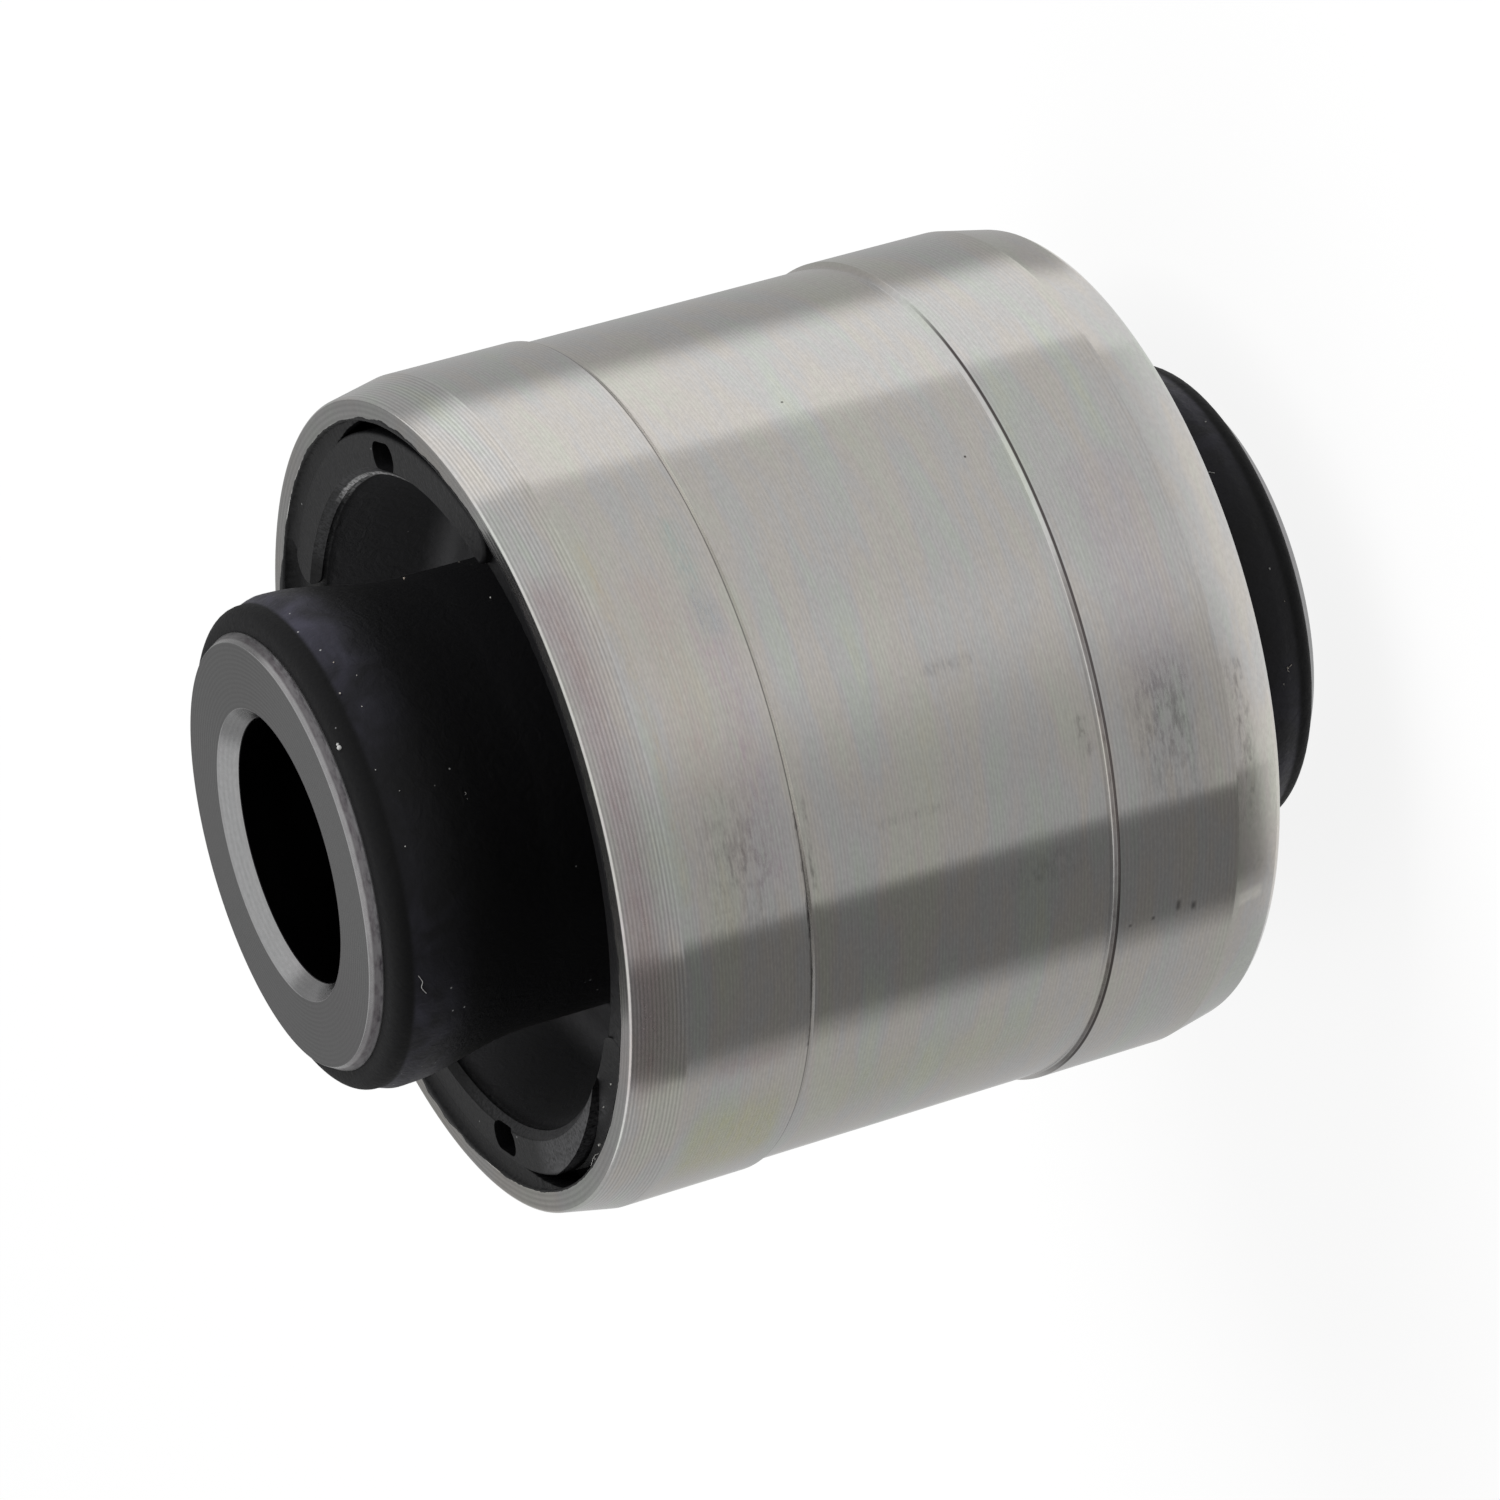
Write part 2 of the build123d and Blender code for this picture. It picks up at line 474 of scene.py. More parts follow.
@dataclass(frozen=True)
class TurnedSteel:
    """Turned steel: fine grooves that run round the axis and drag the highlights across themselves.

    Args:
        name: The material's name.
        base: Its colour.
        tints: Colours of its thin coating, in the order in which rings show them.
        tint_share: How much they cover the base, from 0 to 1.
        roughness: Its roughness where it is clean.
        bands: The feed marks of its outside.
        face_feed: The feed of its flat ends.
        reach: Its outer radius.
        patches: Its stains, tints, painted shade and painted highlights, from the lowest up.
        tone: How bright the metal is against its colours.
        painted_face_shade: How bright its flat ends are painted against the rest, as painted shade.
        bore: The radius of its bore, inside which it is painted dark as shade.
    """

    name: str
    base: str
    tints: tuple[str, ...]
    tint_share: float
    roughness: float
    bands: tuple[FeedBand, ...]
    face_feed: float
    reach: float
    patches: tuple[Patch, ...]
    tone: float
    painted_face_shade: float
    bore: float = 0.0
    bore_shade: str = "#2a292b"
    bore_margin: float = 0.03
    flat_from: float = 0.97
    groove_depth: float = 0.002
    groove_shade: tuple[float, float] = (0.72, 1.20)
    groove_reach: float = 1.7
    grain_shade: tuple[float, float] = (0.94, 1.05)
    chatter_depth: tuple[float, float] = (0.35, 1.0)
    tint_from: float = 0.28
    tint_over: float = 0.44
    torn_over: tuple[float, float] = (0.46, 0.66)
    roughness_swing: tuple[float, float] = (-0.02, 0.03)
    broken_patch_roughness: float = 0.2
    dragging: float = 0.8
    ring_cells: tuple[float, ...] = (0.07, 0.07, 0.42)
    streak_cells: tuple[float, ...] = (0.9, 0.9, 3.4)
    grain_cells: tuple[float, ...] = (3.0, 3.0, 7.0)
    chatter_cells: tuple[float, ...] = (0.12, 0.12, 4.0)

    def material(self) -> bpy.types.Material:
        """Build the material.

        Returns:
            A metal with turning grooves, tints of its thin coating in rings, stains, smudges, and painted
            shade and highlights.
        """
        material = bpy.data.materials.new(self.name)
        tree = fresh_tree(material)
        point, flat, radius = surface_point(tree)
        part = add(tree, "ShaderNodeSeparateXYZ", {0: point}).outputs
        height = part[2]
        bearing = add(tree, "ShaderNodeMath", {0: part[1], 1: part[0]}, operation="ARCTAN2")
        angle = add(tree, "ShaderNodeMath", {0: bearing}, operation="DEGREES")
        normal = add(tree, "ShaderNodeNewGeometry").outputs["Normal"]
        facing = add(tree, "ShaderNodeSeparateXYZ", {0: normal}).outputs[2]
        upright = add(tree, "ShaderNodeMath", {0: facing}, operation="ABSOLUTE")
        on_face = add(tree, "ShaderNodeMath", {0: upright, 1: self.flat_from}, operation="GREATER_THAN")
        grooves = self._grooves(tree, point, radius, height, on_face)

        # Tints of the thin coating, in rings that slowly change round the sleeve
        rings = cells(tree, point, self.ring_cells, 4.0, 0.6)
        steps = len(self.tints) - 1
        places = [self.tint_from + self.tint_over * i / steps for i in range(steps + 1)]
        stops = [(place, linear(code)) for place, code in zip(places, self.tints)]
        layers = [(self.tint_share, ramp(add(tree, "ShaderNodeValToRGB", {0: rings}), stops))]

        # Stains, smudges, painted shade and painted highlights, which streaks along the grooves break up
        streaks = cells(tree, point, self.streak_cells, 6.0, 0.72)
        torn = add(tree, "ShaderNodeMapRange", span(streaks, self.torn_over))
        dull = 0.0
        for patch in self.patches:
            mask = self._mask(tree, patch, height, angle, torn)
            if patch.beyond:
                mask = narrowed(tree, mask, radius, patch.beyond, patch.beyond + patch.beyond_fade)
            layers.append((mask, linear(patch.colour)))
            if patch.broken:
                dull = add(tree, "ShaderNodeMath", {0: dull, 1: mask}, operation="ADD")
        # Painted shade inside the bore
        if self.bore:
            edge = self.bore + self.bore_margin
            in_bore = add(tree, "ShaderNodeMath", {0: radius, 1: edge}, operation="LESS_THAN")
            layers.append((in_bore, linear(self.bore_shade)))
        colour = layered(tree, linear(self.base), layers)

        # Light and dark of the grooves, a fine grain, and painted shade on the flat ends
        low, high = (share * self.tone for share in self.groove_shade)
        reach = (-self.groove_reach, self.groove_reach)
        lines = add(tree, "ShaderNodeMapRange", span(grooves, reach, (low, high)))
        fine = cells(tree, point, self.grain_cells, 3.0)
        grain = add(tree, "ShaderNodeMapRange", span(fine, MIDDLE, self.grain_shade))
        ends = add(tree, "ShaderNodeMapRange", span(on_face, (0.0, 1.0), (1.0, self.painted_face_shade)))
        shade = product(tree, lines, grain, ends)
        colour = add(tree, "ShaderNodeVectorMath", {0: colour, "Scale": shade}, operation="SCALE")

        # Broken-up patches, smudges and painted shade alike, raise the roughness, and the grooves drag the
        # highlight across themselves
        swing = tuple(self.roughness + change for change in self.roughness_swing)
        clean = add(tree, "ShaderNodeMapRange", span(rings, MIDDLE, swing))
        roughened = {0: dull, 1: self.broken_patch_roughness, 2: clean}
        bump = {"Strength": 1.0, "Distance": self.groove_depth * MM, "Height": grooves}
        round_axis = add(tree, "ShaderNodeVectorMath", {0: (0, 0, 1), 1: flat}, operation="CROSS_PRODUCT")
        along = add(tree, "ShaderNodeVectorMath", {0: round_axis, 1: normal}, operation="CROSS_PRODUCT")
        shader = add(tree, "ShaderNodeBsdfPrincipled", {
            "Base Color": colour,
            "Metallic": 1.0,
            "Roughness": add(tree, "ShaderNodeMath", roughened, operation="MULTIPLY_ADD"),
            "Anisotropic": self.dragging,
            "Normal": add(tree, "ShaderNodeBump", bump),
            "Tangent": along,
        })
        add(tree, "ShaderNodeOutputMaterial", {"Surface": shader})
        return material

    def _grooves(
        self, tree: bpy.types.NodeTree, point: object, radius: object, height: object, on_face: object
    ) -> bpy.types.Node:
        """Give the depth of the turning grooves.

        Args:
            tree: The material's tree.
            point: The point in millimetres.
            radius: Its distance from the axis.
            height: Its height.
            on_face: 1 on the flat ends and 0 elsewhere.

        Returns:
            A value from -1 in the grooves to 1 between them.
        """
        phase = product(tree, radius, math.tau / self.face_feed)
        grooves = product(tree, add(tree, "ShaderNodeMath", {0: phase}, operation="SINE"), on_face)
        for band in self.bands:
            above = add(tree, "ShaderNodeMath", {0: height, 1: band.low}, operation="GREATER_THAN")
            below = add(tree, "ShaderNodeMath", {0: height, 1: band.high}, operation="LESS_THAN")
            share = product(tree, above, below, band.depth)
            phase = product(tree, height, math.tau / band.feed)
            wave = add(tree, "ShaderNodeMath", {0: phase}, operation="SINE")
            grooves = add(tree, "ShaderNodeMath", {0: wave, 1: share, 2: grooves}, operation="MULTIPLY_ADD")

        # The tool's chatter makes the rings uneven, long round the axis and short along it
        chatter = cells(tree, point, self.chatter_cells, 3.0)
        depth = add(tree, "ShaderNodeMapRange", span(chatter, MIDDLE, self.chatter_depth))
        return product(tree, grooves, depth)

    def _mask(
        self, tree: bpy.types.NodeTree, patch: Patch, height: object, angle: object, torn: object
    ) -> bpy.types.Node:
        """Give how strongly one patch shows.

        Args:
            tree: The material's tree.
            patch: The patch.
            height: The point's height.
            angle: Its angle about the axis, in degrees.
            torn: The streaks, from 0 to 1.

        Returns:
            A value from 0 to the patch's share.
        """
        sides = [(height, patch.low, patch.high, patch.fade)]
        if patch.end - patch.start < FULL_TURN:
            run = math.degrees(max(patch.fade, patch.run) / self.reach)
            sides.append((angle, patch.start, patch.end, run))
        mask = patch.share
        for value, low, high, fade in sides:
            mask = narrowed(tree, mask, value, low, low + fade)
            mask = narrowed(tree, mask, value, high, high - fade)
        if not patch.broken:
            return mask
        left = add(tree, "ShaderNodeMapRange", span(torn, (0.0, 1.0), (1.0 - patch.broken, 1.0)))
        return product(tree, left, mask)


@dataclass(frozen=True)
class PaintedSheen:
    """A stretch of painted sheen on the upper end of the rubber, among them highlights along edges.

    Args:
        low: Its lower edge.
        high: Its upper edge.
        inner: Its inner radius.
        outer: Its outer radius.
        start: The angle where it starts, in degrees.
        end: The angle where it ends, above its start.
        colour: Its colour.
        share: How strongly it shows, from 0 to 1.
        fade: Over how many millimetres its edges fade out.
        even: Whether it lies evenly, with no grain in it.
    """

    low: float
    high: float
    inner: float
    outer: float
    start: float
    end: float
    colour: str
    share: float
    fade: float = 0.14
    even: bool = False


@dataclass(frozen=True)
class MouldedRubber:
    """Moulded rubber: near black with a soft gloss, and a bluish bloom with painted sheen round its collars.

    Args:
        name: The material's name.
        base: Its colour.
        bloom_and_sheen: The colour of the bloom and of its painted sheen.
        dust: The colour of its specks.
        roughness: Its roughness.
        middle: The height that the bloom and its painted sheen are measured from, up and down.
        bloom_and_sheen_reach: Where the bloom and its painted sheen start and where they are full.
        bloom_and_sheen_radius: The radius outside which there is no bloom and no painted sheen.
        painted_sheens: Its stretches of painted sheen, from the lowest up.
    """

    name: str
    base: str
    bloom_and_sheen: str
    dust: str
    roughness: float
    middle: float
    bloom_and_sheen_reach: tuple[float, float]
    bloom_and_sheen_radius: float
    painted_sheens: tuple[PaintedSheen, ...]
    bloom_and_sheen_ends: tuple[float, float] = (0.35, 0.05)
    mist_over: tuple[float, float] = (0.35, 0.72)
    mist_share: tuple[float, float] = (0.15, 1.0)
    sheen_by_side_over: tuple[float, float] = (2.0, 10.5)
    sheen_by_side_least: float = 0.15
    sheen_grain: tuple[float, float] = (0.34, 0.62)
    speck_cells: float = 1.7
    speck_edge: tuple[float, float] = (0.11, 0.05)
    speck_lot: tuple[float, float] = (0.97, 0.55)
    roughness_swing: tuple[float, float] = (-0.05, 0.08)
    swirl_depth: float = 0.02
    front_gloss: float = -0.2

    def material(self) -> bpy.types.Material:
        """Build the material.

        Returns:
            A dark dielectric with a fine grain, mould swirls, a bloom with painted sheen and pale specks on
            the collars, and painted sheen on its upper end.
        """
        material = bpy.data.materials.new(self.name)
        tree = fresh_tree(material)
        point, flat, radius = surface_point(tree)
        part = add(tree, "ShaderNodeSeparateXYZ", {0: point}).outputs
        height = part[2]
        off_middle = add(tree, "ShaderNodeMath", {0: height, 1: self.middle}, operation="SUBTRACT")
        along = add(tree, "ShaderNodeMath", {0: off_middle}, operation="ABSOLUTE")

        # The bloom round the collars, with painted sheen: clouds, fading towards the neck and ending behind
        # the front round, and painted faint where the collar faces along Y
        start, end = self.bloom_and_sheen_reach
        past, before = self.bloom_and_sheen_ends
        behind_front = narrowed(tree, 1.0, along, end + past, end + before)
        near_front = narrowed(tree, behind_front, along, start, end)
        on_collar = add(tree, "ShaderNodeMath", {0: radius, 1: self.bloom_and_sheen_radius}, operation="LESS_THAN")
        values = {"Vector": point, "Scale": 0.35, "Detail": 6.0, "Distortion": 1.2}
        mist = span(add(tree, "ShaderNodeTexNoise", values), self.mist_over, self.mist_share)
        # Painted sheen: full where the collar faces along X, faint where it faces along Y
        sideways = add(tree, "ShaderNodeMath", {0: part[0]}, operation="ABSOLUTE")
        left = {0: narrowed(tree, 1 - self.sheen_by_side_least, sideways, *self.sheen_by_side_over), 1: self.sheen_by_side_least}
        sheen_by_side = add(tree, "ShaderNodeMath", left, operation="ADD")
        bloom_and_sheen = product(tree, near_front, on_collar, add(tree, "ShaderNodeMapRange", mist), sheen_by_side)
        layers = [(bloom_and_sheen, linear(self.bloom_and_sheen))]

        # Stretches of painted sheen, broken up unless they lie evenly, each measured from its own middle
        values = {"Vector": point, "Scale": 5.0, "Detail": 5.0, "Roughness": 0.65}
        grain = add(tree, "ShaderNodeTexNoise", values)
        for sheen_stretch in self.painted_sheens:
            turn = math.radians((sheen_stretch.start + sheen_stretch.end) / 2)
            half = math.radians((sheen_stretch.end - sheen_stretch.start) / 2)
            middle = (math.cos(turn), math.sin(turn), 0.0)
            way = add(tree, "ShaderNodeVectorMath", {0: flat, 1: middle}, operation="DOT_PRODUCT")
            cosine = add(tree, "ShaderNodeMath", {0: way.outputs["Value"], 1: radius}, operation="DIVIDE")
            mask = narrowed(tree, sheen_stretch.share, cosine, math.cos(half), math.cos(half / 2))
            for value, low, high in ((radius, sheen_stretch.inner, sheen_stretch.outer), (height, sheen_stretch.low, sheen_stretch.high)):
                mask = narrowed(tree, mask, value, low, low + sheen_stretch.fade)
                mask = narrowed(tree, mask, value, high, high - sheen_stretch.fade)
            if not sheen_stretch.even:
                mask = narrowed(tree, mask, grain, *self.sheen_grain)
            layers.append((mask, linear(sheen_stretch.colour)))

        # Pale specks where the bloom and sheen lie and, fewer, elsewhere; real ones are finer than the
        # picture can show
        values = {"Vector": point, "Scale": self.speck_cells, "Randomness": 1.0}
        crumbs = add(tree, "ShaderNodeTexVoronoi", values).outputs
        close = add(tree, "ShaderNodeMapRange", span(crumbs["Distance"], self.speck_edge))
        lot = add(tree, "ShaderNodeSeparateXYZ", {0: crumbs["Color"]})
        rare = add(tree, "ShaderNodeMapRange", span(bloom_and_sheen, (0.0, 1.0), self.speck_lot))
        chosen = add(tree, "ShaderNodeMath", {0: lot, 1: rare}, operation="GREATER_THAN")
        layers.append((product(tree, close, chosen), linear(self.dust)))

        # Swirls and grain of the mould, and a gloss that changes behind the front round
        values = {"Vector": point, "Scale": 0.9, "Detail": 2.0, "Distortion": 1.5}
        relief = {0: add(tree, "ShaderNodeTexNoise", values), 1: 2.0, 2: grain}
        height = add(tree, "ShaderNodeMath", relief, operation="MULTIPLY_ADD")
        bump = {"Strength": 1.0, "Distance": self.swirl_depth * MM, "Height": height}
        swing = tuple(self.roughness + change - self.front_gloss for change in self.roughness_swing)
        dull = add(tree, "ShaderNodeMapRange", span(grain, MIDDLE, swing))
        gloss = {0: behind_front, 1: self.front_gloss, 2: dull}
        shader = add(tree, "ShaderNodeBsdfPrincipled", {
            "Base Color": layered(tree, linear(self.base), layers),
            "Roughness": add(tree, "ShaderNodeMath", gloss, operation="MULTIPLY_ADD"),
            "IOR": 1.5,
            "Specular IOR Level": 0.15,
            "Normal": add(tree, "ShaderNodeBump", bump),
        })
        add(tree, "ShaderNodeOutputMaterial", {"Surface": shader})
        return material


@dataclass
class OuterSleeve:
    """The zinc-plated outer sleeve with its two press lands and the turned-down middle."""

    wall: float = 1.75
    lead_length: float = 2.9
    lead_depth: float = 0.6
    land_length: float = 6.95
    relief_depth: float = 0.24
    relief_step: float = 0.3
    edge: float = 0.06
    rim_edge: float = 0.18
    land_edge: float = 0.12
    lower_rim_edge: float = 0.4

    def __post_init__(self) -> None:
        """Take the sleeve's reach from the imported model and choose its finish."""
        self.radius, self.bottom, self.top = reach_of("outer_sleeve")
        lead = self.lead_length
        land = lead + self.land_length
        step = land + self.relief_step
        near_step = self.top - land
        far_step = self.bottom + land
        # Dark colours of oil and soot, also used as painted shade in the steps
        oil_and_shade = "#2b2422"
        soot_and_shade = "#5c5656"
        self.finish = TurnedSteel(
            name="zinc_plated_turned_steel",
            base="#d5d5cc",
            tints=("#dad4bf", "#d6d6cb", "#dacdcb", "#cfcbd5", "#cbd5d1", "#d4d9c8"),
            tint_share=0.40,
            roughness=0.16,
            # The real feed of the upper three is 0.16, drawn a little coarser so that it shows
            bands=(
                FeedBand(self.bottom + lead, self.bottom + land, 0.22, 0.45),
                FeedBand(self.bottom + step, self.top - step, 0.19, 0.42),
                FeedBand(self.top - land, self.top - lead, 0.19, 0.50),
                FeedBand(self.top - lead, self.top, 0.20, 1.4),
            ),
            face_feed=0.3,
            painted_face_shade=0.60,
            tone=0.90,
            reach=self.radius,
            patches=(
                # Painted shade, pinkish like the coating's thin film, over a stretch of the near chamfer
                Patch(self.top - lead, self.top + 1.0, -142.0, -62.0, "#b09b9e", 0.85, 2.5, 0.35),
                # Thin-film colours of the coating, in rings beside the edges of the near land
                Patch(self.top - lead - 1.3, self.top - lead, -112.0, -60.0, "#dccba8", 0.45, 0.8, 0.7),
                Patch(near_step, near_step + 3.4, -114.0, -70.0, "#cdb6c4", 0.50, 1.6, 0.75),
                Patch(near_step + 0.4, near_step + 2.6, -80.0, -60.0, "#b5cbca", 0.50, 1.1, 0.6),
                Patch(near_step + 2.4, near_step + 6.0, -100.0, -66.0, "#d8c3bd", 0.45, 1.6, 0.6),
                Patch(far_step - 6.4, far_step - 0.6, -104.0, -66.0, "#c8bdc5", 0.45, 1.8, 0.6),
                # Painted shade in the corners of both steps, all round and heavier on the half from -180° to
                # -30°
                Patch(near_step - 0.06, near_step + 0.06, -180.0, 180.0, oil_and_shade, 0.70, 0.05),
                Patch(near_step - 0.16, near_step + 0.16, -138.0, -103.0, oil_and_shade, 0.80, 0.08, 0.8),
                Patch(near_step - 0.9, near_step - 0.25, -118.0, -101.0, soot_and_shade, 0.45, 0.3, 1.0),
                Patch(far_step + 0.26, far_step + 0.56, -150.0, -80.0, soot_and_shade, 0.25, 0.14, 0.3, 6.0),
                Patch(far_step - 0.04, far_step + 0.13, -179.0, -32.0, "#33292a", 0.90, 0.05, 0.0, 6.0),
                Patch(far_step + 0.08, far_step + 0.28, -179.0, -76.0, "#3d3030", 0.80, 0.06, 0.2, 5.0),
                # A greenish and a pink tint where the lower side turns bright again
                Patch(near_step + 0.2, near_step + 6.7, -168.0, -141.0, "#d4d3a2", 0.65, 1.2, 0.4, 4.0),
                Patch(near_step + 0.6, near_step + 6.0, -141.0, -134.0, "#c9b3b8", 0.45, 1.5, 0.5, 1.5),
                Patch(20.0, near_step - 0.4, -162.0, -141.0, "#cfd2b0", 0.45, 3.0, 0.5, 4.0),
                # A painted highlight: a pale streak across the far chamfer
                Patch(9.0, 10.9, -136.9, -133.7, "#f2efe6", 0.60, 0.4),
                # Smudges from handling, streaked along the grooves
                Patch(far_step - 6.8, far_step - 0.3, -121.0, -92.0, soot_and_shade, 0.34, 2.6, 0.75, 3.5),
                Patch(far_step - 5.4, far_step - 1.2, -114.0, -96.0, "#645a60", 0.34, 1.7, 0.9, 2.5),
                Patch(self.bottom + 1.3, self.bottom + lead + 0.2, -124.0, -99.0, soot_and_shade, 0.55, 0.7, 0.95),
                Patch(near_step + 0.4, near_step + 6.6, -122.0, -93.0, soot_and_shade, 0.32, 2.6, 0.85, 4.0),
                Patch(near_step + 1.0, near_step + 5.0, -112.0, -102.0, "#7a6a72", 0.30, 1.6, 0.9, 2.0),
                Patch(23.8, 27.4, -91.8, -88.8, soot_and_shade, 0.45, 0.7, 0.85),
                Patch(26.6, 31.6, -109.4, -106.6, soot_and_shade, 0.32, 0.7, 0.9),
                Patch(18.7, 19.7, -107.5, -101.0, soot_and_shade, 0.60, 0.4, 0.9),
                Patch(19.5, 24.5, -124.0, -117.0, soot_and_shade, 0.25, 1.0, 1.0),
                # Small pits and blobs
                Patch(27.74, 27.96, -47.8, -47.3, oil_and_shade, 1.0, 0.10),
                Patch(20.42, 20.60, -64.2, -63.7, oil_and_shade, 1.0, 0.08),
                Patch(15.72, 16.02, -134.1, -133.2, oil_and_shade, 0.60, 0.14),
                Patch(14.20, 14.64, -134.0, -131.4, oil_and_shade, 0.55, 0.20, 0.0, 0.4),
                Patch(13.28, 13.72, -134.6, -132.4, oil_and_shade, 0.60, 0.20, 0.0, 0.4),
                Patch(17.06, 17.36, -134.2, -133.4, oil_and_shade, 0.55, 0.14),
            ),
        )

    def build(self, tree: bpy.types.NodeTree) -> bpy.types.Object:
        """Turn the sleeve.

        Args:
            tree: The turning tree.

        Returns:
            The sleeve.
        """
        seat = self.radius - self.wall
        lead_radius = self.radius - self.lead_depth
        land_start = self.bottom + self.lead_length
        land_end = land_start + self.land_length
        up = (
            Corner(self.radius, land_start, self.land_edge),
            Corner(self.radius, land_end, self.edge),
            Corner(self.radius - self.relief_depth, land_end + self.relief_step, self.edge),
        )
        both = self.top + self.bottom
        section = Section((
            Corner(seat, self.bottom, self.edge),
            Corner(lead_radius, self.bottom, self.lower_rim_edge),
            *up,
            *(Corner(c.radius, both - c.height, c.edge) for c in reversed(up)),
            Corner(lead_radius, self.top, self.rim_edge),
            Corner(seat, self.top, self.edge),
        ))
        finish = self.finish.material()
        piece = turned_piece("outer_sleeve_turned", section, Roundness.LARGE.value, finish, tree)
        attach(piece, ROOT)
        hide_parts("outer_sleeve")
        return piece


@dataclass
class InnerSleeve:
    """The thick inner sleeve that the bolt passes through."""

    tip_chamfer_length: float = 0.62
    tip_chamfer_depth: float = 0.37
    mouth_length: float = 0.96
    mouth_depth: float = 0.73
    edge: float = 0.05

    def __post_init__(self) -> None:
        """Take the sleeve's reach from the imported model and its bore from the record."""
        self.radius, self.bottom, self.top = reach_of("inner_sleeve")
        mounts = {mount["name"]: mount for mount in frame["record"]["mounts"]}
        self.bore = mounts["bolt_bore"]["dims"]["r_mm"]
        dark_from = self.top - self.tip_chamfer_length - 0.1
        rim = self.radius - 1.0
        self.finish = TurnedSteel(
            name="phosphated_turned_steel",
            base="#d4d4d4",
            tints=("#d8d3d4", "#d0d1d2", "#d8d1d6"),
            tint_share=0.5,
            roughness=0.22,
            bands=(FeedBand(self.bottom, self.top, 0.2, 0.3),),
            face_feed=0.25,
            reach=self.radius,
            # The outer half of the tip's chamfer is darker, the inner half lighter
            patches=(
                Patch(dark_from, self.top - 0.17, -180.0, 180.0, "#524c53", 0.95, 0.12, 0.4, beyond=rim),
                Patch(self.top - 0.5, self.top - 0.02, -180.0, 180.0, "#b0a6ab", 0.4, 0.05, 0.6, beyond=rim),
            ),
            # The bore and the flat ends get painted shade
            bore=self.bore,
            painted_face_shade=0.31,
            tone=0.50,
        )

    def build(self, tree: bpy.types.NodeTree) -> bpy.types.Object:
        """Turn the sleeve.

        Args:
            tree: The turning tree.

        Returns:
            The sleeve.
        """
        end = (
            Corner(self.bore, self.mouth_length, self.edge),
            Corner(self.bore + self.mouth_depth, 0.0, self.edge),
            Corner(self.radius - self.tip_chamfer_depth, 0.0, self.edge),
            Corner(self.radius, self.tip_chamfer_length, self.edge),
        )
        section = Section((
            *(Corner(c.radius, self.bottom + c.height, c.edge) for c in end),
            *(Corner(c.radius, self.top - c.height, c.edge) for c in reversed(end)),
        ))
        finish = self.finish.material()
        piece = turned_piece("inner_sleeve_turned", section, Roundness.SMALL.value, finish, tree)
        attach(piece, ROOT)
        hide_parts("inner_sleeve")
        return piece


@dataclass
class RubberInsert:
    """The moulded rubber between the sleeves."""

    crease: float = 35.0
    torn_floor: float = 0.74
    same_height: float = 0.005
    torn_from: float = 18.2
    torn_to: float = 19.9
    torn_slope: float = 0.8

    def __post_init__(self) -> None:
        """Choose the rubber's finish."""
        _, bottom, end = reach_of("rubber_insert")
        front = (end - bottom) / 2
        _, _, top = reach_of("outer_sleeve")
        self.torn_height = top - self.torn_floor
        pale = "#939396"
        self.finish = MouldedRubber(
            name="moulded_rubber_satin",
            base="#0f0f10",
            bloom_and_sheen="#34333e",
            dust="#9a9a9a",
            roughness=0.46,
            middle=(bottom + end) / 2,
            bloom_and_sheen_reach=(front - 5.0, front - 1.3),
            bloom_and_sheen_radius=15.0,
            painted_sheens=(
                # Painted highlights along the lip's inner edge, and painted sheen on the pads beside it
                PaintedSheen(top - 1.2, top + 1.0, 17.50, 18.15, -12.0, 14.0, pale, 0.25),
                PaintedSheen(top - 1.2, top + 1.0, 17.56, 17.86, -26.0, 18.0, "#c4c4c4", 1.0, 0.07),
                PaintedSheen(top - 1.2, top + 1.0, 17.50, 18.15, 6.0, 38.0, pale, 0.12),
                PaintedSheen(top - 1.2, top + 1.0, 17.50, 18.10, 140.0, 208.0, pale, 0.16),
                PaintedSheen(top - 1.2, top + 1.0, 17.90, 20.00, 172.0, 210.0, pale, 0.20, 0.3),
                # Painted sheen on the walls of the cup
                PaintedSheen(top - 8.0, top - 0.8, 13.0, 18.1, -64.0, 68.0, pale, 0.24, 0.8, True),
                PaintedSheen(top - 8.0, top - 0.8, 13.0, 18.1, 114.0, 244.0, pale, 0.40, 0.8, True),
            ),
        ).material()

    def build(self) -> bpy.types.Object:
        """Copy the solid's mesh, join its loose triangles and smooth it between its creases.

        Returns:
            The rubber.
        """
        mesh = frame["nodes"]["rubber_insert"].data.copy()
        work = bmesh.new()
        work.from_mesh(mesh)
        bmesh.ops.remove_doubles(work, verts=work.verts, dist=WELD)
        # The torn end's floor falls away towards the groove
        for vert in work.verts:
            if abs(vert.co.z / MM - self.torn_height) < self.same_height:
                out = vert.co.xy.length / MM
                share = (out - self.torn_from) / (self.torn_to - self.torn_from)
                vert.co.z -= self.torn_slope * max(0.0, min(1.0, share)) * MM
        for face in work.faces:
            face.smooth = True
        for edge in work.edges:
            edge.smooth = edge.is_manifold and edge.calc_face_angle(0.0) < math.radians(self.crease)
        work.to_mesh(mesh)
        work.free()
        mesh.materials.clear()
        mesh.materials.append(self.finish)
        carrier = linked("rubber_carrier", mesh)
        weight = carrier.modifiers.new("flats", "WEIGHTED_NORMAL")
        weight.keep_sharp = True
        piece = settled("rubber_insert_moulded", carrier)
        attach(piece, ROOT)
        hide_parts("rubber_insert")
        return piece


